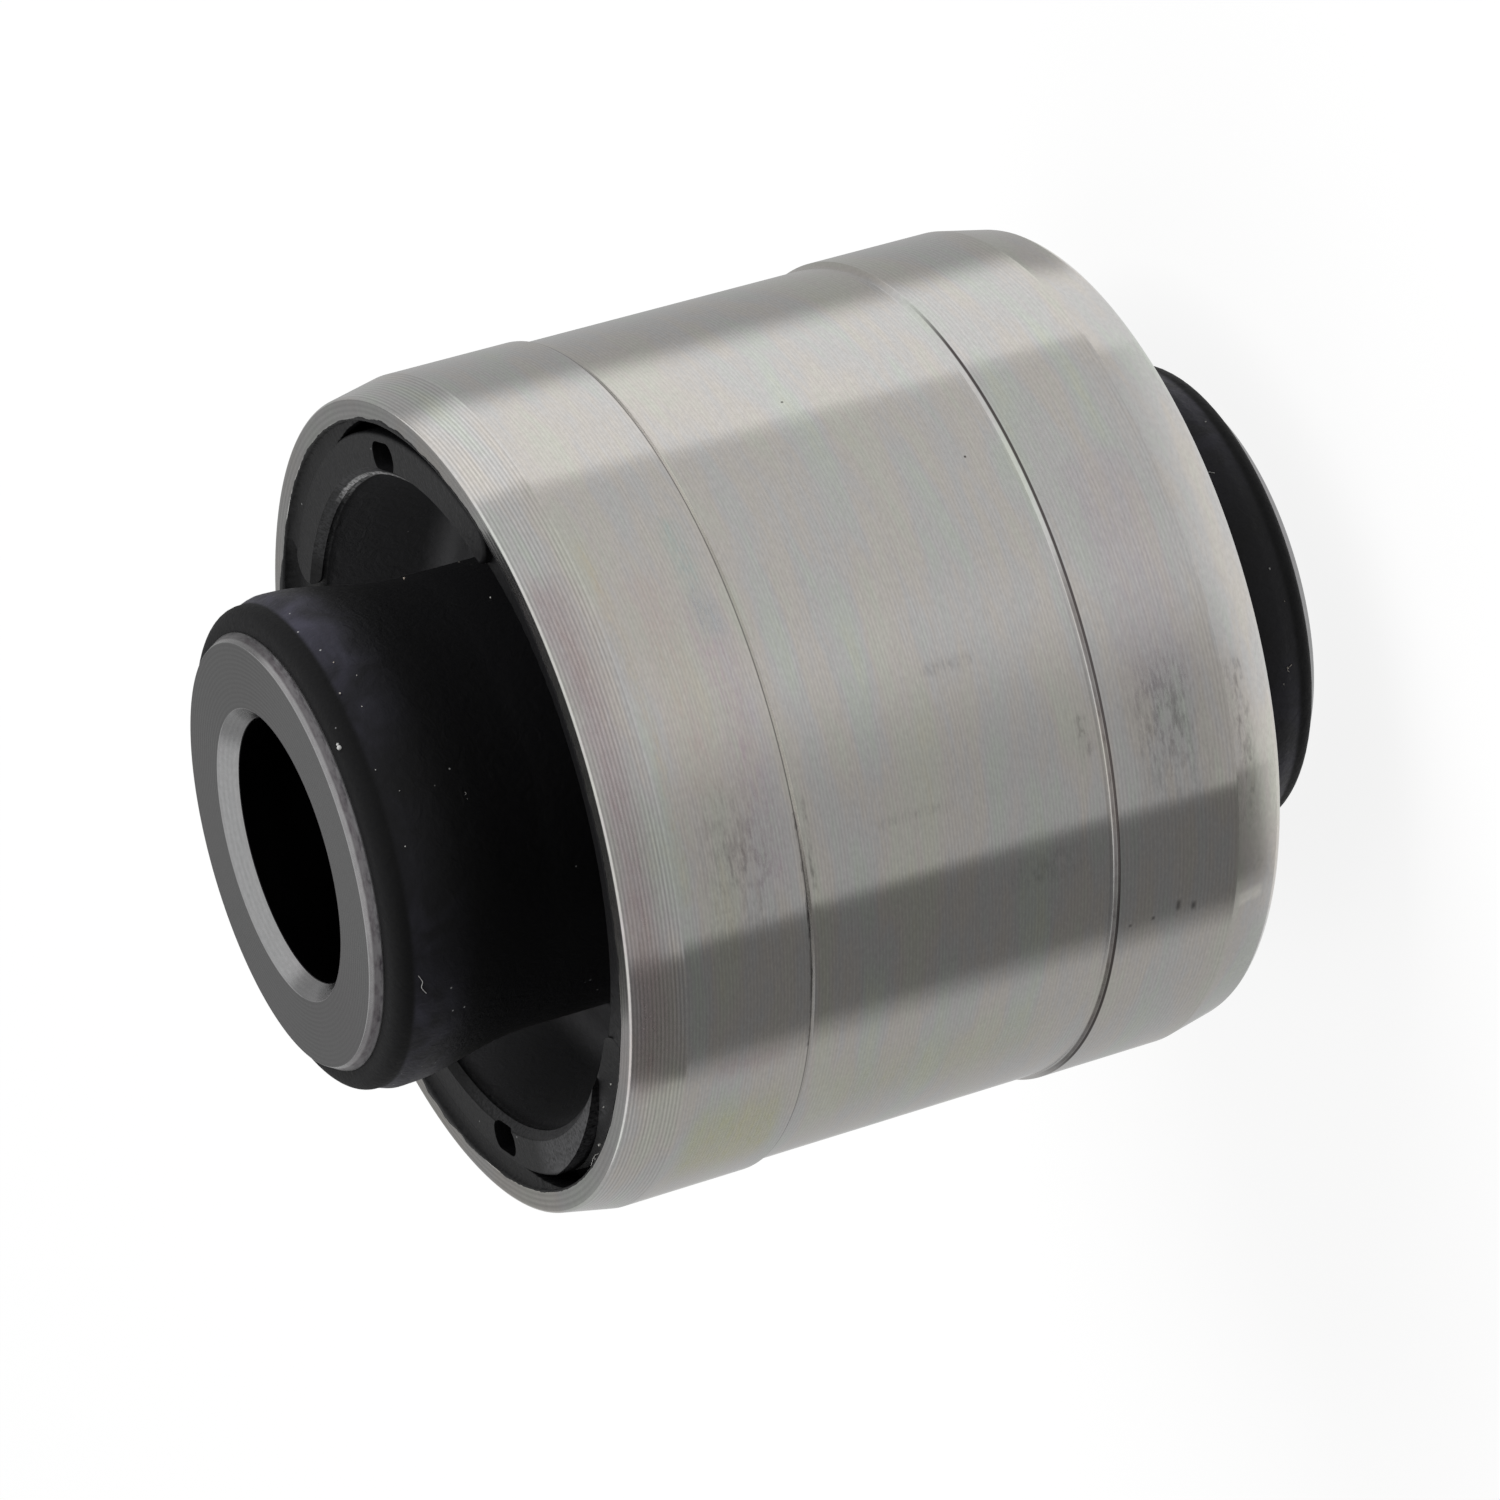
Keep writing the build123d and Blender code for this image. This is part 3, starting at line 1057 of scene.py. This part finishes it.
@dataclass(frozen=True)
class FilledArc:
    """A stretch where the film fills the groove along the sleeve.

    Args:
        start: Where it starts, in degrees.
        end: Where it ends, in degrees.
        drop: How far below the sleeve's end face its surface lies.
        width: How far it reaches in from the wall.
        rise: Over how many degrees it grows at its start.
        fall: Over how many degrees it shrinks at its end.
    """

    start: float
    end: float
    drop: float = 0.335
    width: float = 1.0
    rise: float = 5.0
    fall: float = 5.0

    def share(self, angle: float) -> float:
        """Give how full the groove is at an angle, from 0 to 1."""
        length = self.end - self.start
        into = (angle - self.start) % FULL_TURN
        return max(0.0, min(1.0, into / self.rise, (length - into) / self.fall)) if into <= length else 0.0


@dataclass(frozen=True)
class Waver:
    """A length that wavers round the sleeve.

    Args:
        rest: The length without the waver.
        long: How much the long waves change it.
        short: How much the short waves change it.
    """

    rest: float
    long: float
    short: float

    def at(self, long: float, short: float) -> float:
        """Give the length where the waves have these values."""
        return self.rest + self.long * long + self.short * short


@dataclass
class MouldFilm:
    """The thin film of rubber on the outer sleeve's bore above the insert, with a torn edge."""

    wall: float = 1.75
    root_depth: float = 2.45
    thickness: float = 0.09
    face_lift: float = 0.012
    wall_waver: float = 0.04
    lap: Waver = Waver(0.02, 0.09, 0.05)
    drop: Waver = Waver(0.12, 0.12, 0.08)
    least_drop: float = 0.05
    inner_drop: float = 0.12
    tear: Waver = Waver(0.0, 0.10, 0.08)
    sunk: float = 0.03
    tuck: float = 0.02
    bevel: float = 0.04
    crown: float = 0.006
    inner_round: float = 0.06
    outer_round: float = 0.10
    # How far apart in the noise the two ends of the bush are
    end_shift: float = 0.37
    steps: int = 1440
    coarse: float = 14.0
    fine: float = 60.0
    filled: tuple[FilledArc, ...] = (
        FilledArc(-9.0, 43.0, rise=15.0),
        FilledArc(38.0, 132.0, drop=0.93, width=1.62),
        FilledArc(127.0, 181.0, fall=15.0),
    )
    lapped: tuple[FilledArc, ...] = (
        FilledArc(42.0, 60.0, width=0.25),
        FilledArc(128.0, 152.0, width=0.25),
        FilledArc(-135.0, -4.0, width=0.13, rise=30.0, fall=10.0),
    )

    def column(self, angle: float, seat: float, top: float, out: int) -> list[Vector]:
        """Give the film's section at one angle.

        Args:
            angle: The angle about the axis, in degrees.
            seat: The bore's radius.
            top: The height of the sleeve's end face.
            out: 1 at the upper end of the bush and -1 at the lower one.

        Returns:
            Nine points in millimetres, from the root on the wall over the inner side to the lap.
        """
        turn = math.radians(angle)
        round_point = Vector((math.cos(turn), math.sin(turn), out * self.end_shift))
        long = noise.noise(round_point * self.coarse)
        short = noise.noise(round_point * self.fine)
        shares = [arc.share(angle) for arc in self.filled]
        fill = min(1.0, sum(shares))
        spill = sum(arc.share(angle) * arc.width for arc in self.lapped)
        lap = max(-self.tuck, self.lap.at(long, short) + spill * (1.0 + long))
        wall = seat - self.thickness - self.wall_waver * long
        lowered = max(self.least_drop, self.drop.at(long, short))
        dropped = sum(n * a.drop for n, a in zip(shares, self.filled))
        level = (1 - fill) * (lowered + self.inner_drop) + dropped
        reach = sum(n * (a.width - self.thickness) for n, a in zip(shares, self.filled))
        # The film's inner edge is torn where it starts and ends
        ragged = 4 * fill * (1 - fill) * self.tear.at(long, short)
        inner = min(wall - 0.001, wall - reach + ragged)
        crest = level - self.crown
        spots = (
            (seat + self.sunk, top - out * self.root_depth),
            (wall, top - out * self.root_depth),
            (inner, top - out * (level + self.bevel)),
            (inner + self.inner_round * fill, top - out * crest),
            (wall - self.outer_round * fill, top - out * (crest - self.wall_waver * fill * long)),
            (wall, top - out * (lowered - self.bevel)),
            (seat - self.tuck, top + out * self.face_lift),
            (seat + lap, top + out * self.face_lift),
            (seat + lap, top - out * self.tuck),
        )
        return [Vector((r * math.cos(turn), r * math.sin(turn), z)) for r, z in spots]

    def build(self, finish: bpy.types.Material) -> bpy.types.Object:
        """Make the film at both ends of the bush.

        Args:
            finish: The rubber's material.

        Returns:
            The film.
        """
        radius, bottom, top = reach_of("outer_sleeve")
        seat = radius - self.wall
        points: list[Vector] = []
        faces: list[tuple[int, ...]] = []
        for end, out in ((top, 1), (bottom, -1)):
            first = len(points)
            rows = [self.column(FULL_TURN * i / self.steps, seat, end, out) for i in range(self.steps)]
            wide = len(rows[0])
            points.extend(p * MM for row in rows for p in row)
            for i in range(self.steps):
                here, there = first + i * wide, first + (i + 1) % self.steps * wide
                for k in range(wide):
                    after = (k + 1) % wide
                    quad = (here + k, there + k, there + after, here + after)
                    faces.append(quad if out < 0 else quad[::-1])
        mesh = bpy.data.meshes.new("mould_film")
        mesh.from_pydata(points, [], faces)
        mesh.materials.append(finish)
        mesh.shade_smooth()
        piece = linked("mould_film", mesh)
        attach(piece, ROOT)
        return piece


def dust_tree() -> bpy.types.NodeTree:
    """Build the tree that makes crumbs of loose points and fibres of edges.

    Returns:
        A tree whose inputs are the points, the fibres' thickness and the material.
    """
    inputs = {"Marks": "Geometry", "Fibre radius": "Float", "Finish": "Material"}
    tree, given = new_group("crumbs_and_fibres", inputs)
    beside = add(tree, "GeometryNodeInputMeshVertexNeighbors").outputs["Vertex Count"]
    loose = add(tree, "FunctionNodeCompare", {2: beside, 3: 0}, data_type="INT", operation="EQUAL")
    size = add(tree, "GeometryNodeInputNamedAttribute", {"Name": "size"}, data_type="FLOAT")
    values = {0: (0.5, 0.5, 0.5), 1: (1.2, 1.2, 1.2), "Seed": 7}
    uneven = add(tree, "FunctionNodeRandomValue", values, data_type="FLOAT_VECTOR")
    scale = add(tree, "ShaderNodeVectorMath", {0: uneven, "Scale": size}, operation="SCALE")
    crumb = add(tree, "GeometryNodeMeshIcoSphere", {"Radius": 1.0, "Subdivisions": 2})
    strewn = {"Points": given["Marks"], "Selection": loose, "Instance": crumb, "Scale": scale}
    crumbs = add(tree, "GeometryNodeInstanceOnPoints", strewn)
    lines = add(tree, "GeometryNodeMeshToCurve", {0: given["Marks"]})
    soft = add(tree, "GeometryNodeCurveSplineType", {0: lines}, spline_type="CATMULL_ROM")
    ring = add(tree, "GeometryNodeCurvePrimitiveCircle", {"Resolution": 6, "Radius": given["Fibre radius"]})
    fibres = add(tree, "GeometryNodeCurveToMesh", {"Curve": soft, "Profile Curve": ring, "Fill Caps": True})
    both = add(tree, "GeometryNodeJoinGeometry", {0: crumbs})
    tree.links.new(fibres.outputs[0], both.inputs[0])
    return closed_group(tree, both, given["Finish"])


@dataclass(frozen=True)
class Mark:
    """A crumb of dust, or one point of a fibre.

    Args:
        angle: Its angle about the axis, in degrees.
        height: Its height.
        radius: Its distance from the axis.
        size: The radius of the crumb.
    """

    angle: float
    height: float
    radius: float
    size: float = 0.06

    def point(self) -> Vector:
        """Give the mark's place in metres."""
        turn = math.radians(self.angle)
        return Vector((self.radius * math.cos(turn), self.radius * math.sin(turn), self.height)) * MM


@dataclass
class Dust:
    """The crumbs and fibres that lie on the rubber in the photograph."""

    fibre_radius: float = 0.018
    crumbs: tuple[Mark, ...] = (
        Mark(-10.8, 45.0, 12.17, 0.085),
        Mark(-7.5, 41.6, 12.15, 0.04),
        Mark(-37.4, 42.6, 12.15, 0.06),
        Mark(-70.1, 54.2, 12.60, 0.11),
        Mark(-69.2, 54.2, 12.58, 0.07),
        Mark(-58.0, 53.1, 13.06, 0.05),
        Mark(-49.5, 52.6, 13.14, 0.045),
        Mark(-55.0, 51.9, 13.20, 0.035),
        Mark(-63.0, 52.4, 13.16, 0.04),
        Mark(-78.0, 53.0, 13.08, 0.045),
        Mark(-84.0, 52.2, 13.19, 0.035),
        Mark(-96.0, 52.7, 13.12, 0.04),
        Mark(-113.1, 2.6, 13.18, 0.07),
        Mark(-116.7, 2.9, 13.19, 0.06),
        Mark(-89.6, 2.5, 13.18, 0.06),
        Mark(-97.7, 2.1, 13.13, 0.04),
        Mark(-49.7, 2.2, 13.15, 0.05),
        Mark(-153.1, 44.78, 18.97, 0.07),
        Mark(-161.1, 44.78, 19.88, 0.09),
        Mark(-147.0, 44.68, 18.90, 0.05),
    )
    fibres: tuple[tuple[Mark, ...], ...] = tuple(
        tuple(Mark(*place) for place in places)
        for places in (
            ((-87.6, 48.9, 12.72), (-88.4, 48.7, 12.70), (-89.0, 48.85, 12.72), (-89.8, 48.7, 12.70)),
            ((-126.7, 53.05, 13.08), (-128.4, 52.86, 13.12), (-130.1, 52.90, 13.11), (-131.9, 52.66, 13.14)),
            ((-64.2, 3.4, 13.18), (-63.6, 3.7, 13.18), (-63.4, 4.1, 13.15)),
            ((-112.6, 2.3, 13.16), (-113.4, 2.6, 13.20), (-114.2, 2.5, 13.19)),
            ((-158.0, 45.35, 20.70), (-160.0, 45.0, 20.45), (-161.5, 45.2, 20.30), (-163.0, 45.4, 20.62)),
            ((-160.5, 45.42, 20.72), (-161.4, 45.25, 20.40), (-162.6, 45.05, 20.25), (-163.4, 44.9, 20.20)),
            ((-152.5, 45.35, 20.70), (-153.6, 45.1, 20.50), (-154.8, 45.2, 20.55)),
        )
    )

    def finish(self) -> bpy.types.Material:
        """Build the dust's material.

        Returns:
            A dull, pale grey that turns warm here and there.
        """
        material = bpy.data.materials.new("workshop_dust")
        tree = fresh_tree(material)
        place = add(tree, "ShaderNodeTexCoord").outputs["Object"]
        clouds = add(tree, "ShaderNodeTexNoise", {"Vector": place, "Scale": 180.0, "Detail": 2.0})
        stops = [(0.35, linear("#a89a8c")), (0.5, linear("#a9a8a4")), (0.65, linear("#b9b9b8"))]
        colour = ramp(add(tree, "ShaderNodeValToRGB", {0: clouds}), stops)
        values = {"Base Color": colour, "Roughness": 0.85, "IOR": 1.45}
        shader = add(tree, "ShaderNodeBsdfPrincipled", values)
        add(tree, "ShaderNodeOutputMaterial", {"Surface": shader})
        return material

    def build(self) -> bpy.types.Object:
        """Strew the dust.

        Returns:
            The crumbs and fibres as one piece.
        """
        marks = list(self.crumbs)
        edges: list[tuple[int, int]] = []
        for fibre in self.fibres:
            first = len(marks)
            marks.extend(fibre)
            edges.extend((first + i, first + i + 1) for i in range(len(fibre) - 1))
        mesh = bpy.data.meshes.new("dust_marks")
        mesh.from_pydata([mark.point() for mark in marks], edges, [])
        sizes = mesh.attributes.new("size", "FLOAT", "POINT")
        for slot, mark in zip(sizes.data, marks):
            slot.value = mark.size * MM
        values = {"Fibre radius": self.fibre_radius * MM, "Finish": self.finish()}
        piece = with_tree("dust_and_fibres", mesh, dust_tree(), values)
        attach(piece, ROOT)
        return piece


@dataclass(frozen=True)
class Card:
    """A glowing grey sheet, seen only in reflections, that lies on the ground where the sleeve mirrors it,
    bent up at its far end.

    Args:
        start: The bearing on the sleeve where its reflection starts, in degrees.
        end: The bearing where it ends.
        level: How bright it is, where 1 is white.
        soft_start: Over how many degrees its first edge fades in.
        soft_end: Over how many degrees its last edge fades out.
    """

    start: float
    end: float
    level: float
    soft_start: float
    soft_end: float

    def cover(self, angle: float) -> float:
        """Find how dense the card is at a bearing, from 0 to 1."""
        nearest = min((angle - self.start) / self.soft_start, (self.end - angle) / self.soft_end, 1.0)
        return nearest * nearest * (3.0 - 2.0 * nearest)


@dataclass(frozen=True)
class Lamp:
    """A square soft lamp that shines at the bush.

    Args:
        name: The lamp's name.
        place: Where it hangs, in metres.
        side: Its side in metres.
        power: Its power in watts.
    """

    name: str
    place: tuple[float, float, float]
    side: float
    power: float


@dataclass
class Studio:
    """The floor, the white surround, the grey cards, the lamps and the camera."""

    floor_half: float = 3.0
    floor_drop: float = 0.02
    paint: float = 0.95
    white_share: float = 0.88
    sky_light: float = 0.25
    cards: tuple[Card, ...] = (
        Card(-180.0, -136.0, 0.50, 6.0, 2.0),
        Card(-141.0, -115.0, 0.19, 6.0, 2.5),
        Card(-118.0, -66.0, 0.47, 2.0, 40.0),
        Card(-98.0, -49.0, 0.68, 22.0, 2.5),
        Card(-34.0, 14.0, 0.46, 8.0, 4.0),
    )
    card_gap: float = 0.2
    card_columns: int = 24
    # How far from the sleeve and how high each row of a card's points is
    card_rows: tuple[tuple[float, float], ...] = ((8.0, 0.0), (150.0, 0.0), (150.0, 130.0))
    lamps: tuple[Lamp, ...] = (
        # The large one is on the side that the photograph shows as its top
        Lamp("key_softbox", (0.55, -0.15, 0.60), 0.6, 7.0),
        Lamp("fill_softbox", (-0.35, 0.30, 0.70), 0.8, 3.0),
    )
    eye: tuple[float, float, float] = (-1.504, -371.826, 176.219)
    down: float = 21.70
    roll: float = 106.05
    lens: float = 182.0
    sensor: float = 36.0
    nearest: float = 0.01

    def shown(self, tree: bpy.types.NodeTree) -> bpy.types.Node:
        """Find the rays that see the ground and the surround as white.

        Args:
            tree: The tree of the ground or the surround.

        Returns:
            A node that gives 1 for what the camera, metal and glass show, and 0 for the rest.
        """
        ray = add(tree, "ShaderNodeLightPath").outputs
        shown = ray["Is Camera Ray"]
        for kind in ("Is Glossy Ray", "Is Transmission Ray"):
            shown = add(tree, "ShaderNodeMath", {0: shown, 1: ray[kind]}, operation="MAXIMUM")
        return shown

    def lay_floor(self) -> None:
        """Lay the floor, which shows white but keeps the bush's shadow."""
        half, drop = self.floor_half, -self.floor_drop * MM
        mesh = bpy.data.meshes.new("floor")
        corners = [(x * half, y * half, drop) for x, y in ((-1, -1), (1, -1), (1, 1), (-1, 1))]
        mesh.from_pydata(corners, [], [(0, 1, 2, 3)])
        # White paint, which gives the eye a bright ground without an edge
        material = bpy.data.materials.new("white_painted_floor")
        tree = fresh_tree(material)
        paint = add(tree, "ShaderNodeBsdfDiffuse", {"Color": grey(self.paint)})
        white = add(tree, "ShaderNodeEmission", {"Color": grey(1.0), "Strength": 1.0})
        seen = add(tree, "ShaderNodeMixShader", {0: self.white_share, 1: paint, 2: white})
        surface = add(tree, "ShaderNodeMixShader", {0: self.shown(tree), 1: paint, 2: seen})
        add(tree, "ShaderNodeOutputMaterial", {"Surface": surface})
        mesh.materials.append(material)
        piece = linked("floor", mesh)

    def surround(self) -> None:
        """Make the surround white to the camera, metal and glass, and a soft grey light to the rest."""
        world = bpy.data.worlds.new("white_surround")
        bpy.context.scene.world = world
        tree = fresh_tree(world)
        colour = layered(tree, grey(self.sky_light), [(self.shown(tree), grey(1.0))])
        light = add(tree, "ShaderNodeBackground", {"Color": colour, "Strength": 1.0})
        add(tree, "ShaderNodeOutputWorld", {"Surface": light})

    def lay_cards(self, radius: float) -> None:
        """Lay the cards, which only metal and glass show.

        Args:
            radius: The radius of the sleeve that mirrors them.
        """
        wide = len(self.card_rows)
        for order, card in enumerate(self.cards, 1):
            points: list[Vector] = []
            covers: list[float] = []
            for column in range(self.card_columns + 1):
                bearing = card.start + (card.end - card.start) * column / self.card_columns
                side = Vector((math.cos(math.radians(bearing)), math.sin(math.radians(bearing)), 0.0))
                away = Vector((0.0, 1.0, 0.0)).reflect(side)
                for reach, rise in self.card_rows:
                    up = Vector((0.0, 0.0, self.card_gap * order + rise))
                    points.append((side * radius + away * reach + up) * MM)
                    covers.append(card.cover(bearing))
            firsts = [i + row for i in range(0, wide * self.card_columns, wide) for row in range(wide - 1)]
            name = f"grey_card_{order}"
            mesh = bpy.data.meshes.new(name)
            mesh.from_pydata(points, [], [(i, i + 1, i + wide + 1, i + wide) for i in firsts])
            mesh.attributes.new("cover", "FLOAT", "POINT").data.foreach_set("value", covers)
            # A glowing grey sheet with faded edges, which paints a soft dark reflection band into the metal
            material = bpy.data.materials.new(name)
            tree = fresh_tree(material)
            cover = add(tree, "ShaderNodeAttribute", attribute_name="cover").outputs["Fac"]
            open_air = add(tree, "ShaderNodeBsdfTransparent", {"Color": grey(1.0)})
            glow = add(tree, "ShaderNodeEmission", {"Color": grey(card.level), "Strength": 1.0})
            sheet = add(tree, "ShaderNodeMixShader", {0: cover, 1: open_air, 2: glow})
            add(tree, "ShaderNodeOutputMaterial", {"Surface": sheet})
            mesh.materials.append(material)
            piece = linked(name, mesh)
            piece.visible_camera = False
            piece.visible_diffuse = False
            piece.visible_shadow = False

    def hang_lamps(self) -> None:
        """Hang the soft lamps and turn them to the bush."""
        for lamp in self.lamps:
            data = bpy.data.lights.new(lamp.name, "AREA")
            data.shape = "SQUARE"
            data.size = lamp.side
            data.energy = lamp.power
            softbox = linked(lamp.name, data)
            softbox.location = lamp.place
            softbox.rotation_euler = Vector(lamp.place).to_track_quat("Z", "Y").to_euler()
            softbox.visible_glossy = False

    def set_camera(self) -> None:
        """Set the camera where the photograph was taken from, with its roll."""
        data = bpy.data.cameras.new("camera")
        data.sensor_width = self.sensor
        data.lens = self.lens
        data.clip_start = self.nearest
        camera = linked("camera", data)
        down = math.radians(self.down)
        roll = math.radians(self.roll)
        ahead = Vector((0.0, math.cos(down), -math.sin(down)))
        level_right = Vector((1.0, 0.0, 0.0))
        level_up = level_right.cross(ahead)
        right = level_right * math.cos(roll) - level_up * math.sin(roll)
        turn = Matrix((right, right.cross(ahead), -ahead)).transposed()
        camera.matrix_world = Matrix.Translation(Vector(self.eye) * MM) @ turn.to_4x4()
        bpy.context.scene.camera = camera


def main() -> None:
    """Build the bush and its studio."""
    logging.basicConfig(level=logging.INFO, format="%(message)s")
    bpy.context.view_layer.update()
    studio = Studio()
    studio.set_camera()
    tree = turning_tree()
    sleeve = OuterSleeve()
    rubber = RubberInsert()
    pieces = [
        sleeve.build(tree),
        InnerSleeve().build(tree),
        rubber.build(),
        MouldFilm().build(rubber.finish),
        Dust().build(),
    ]
    for piece in pieces:
        log.info("%s: %d faces", piece.name, len(piece.data.polygons))
    studio.lay_floor()
    studio.surround()
    studio.lay_cards(sleeve.radius)
    studio.hang_lamps()
    bpy.context.scene.view_settings.view_transform = "Standard"


if __name__ == "__main__":
    main()
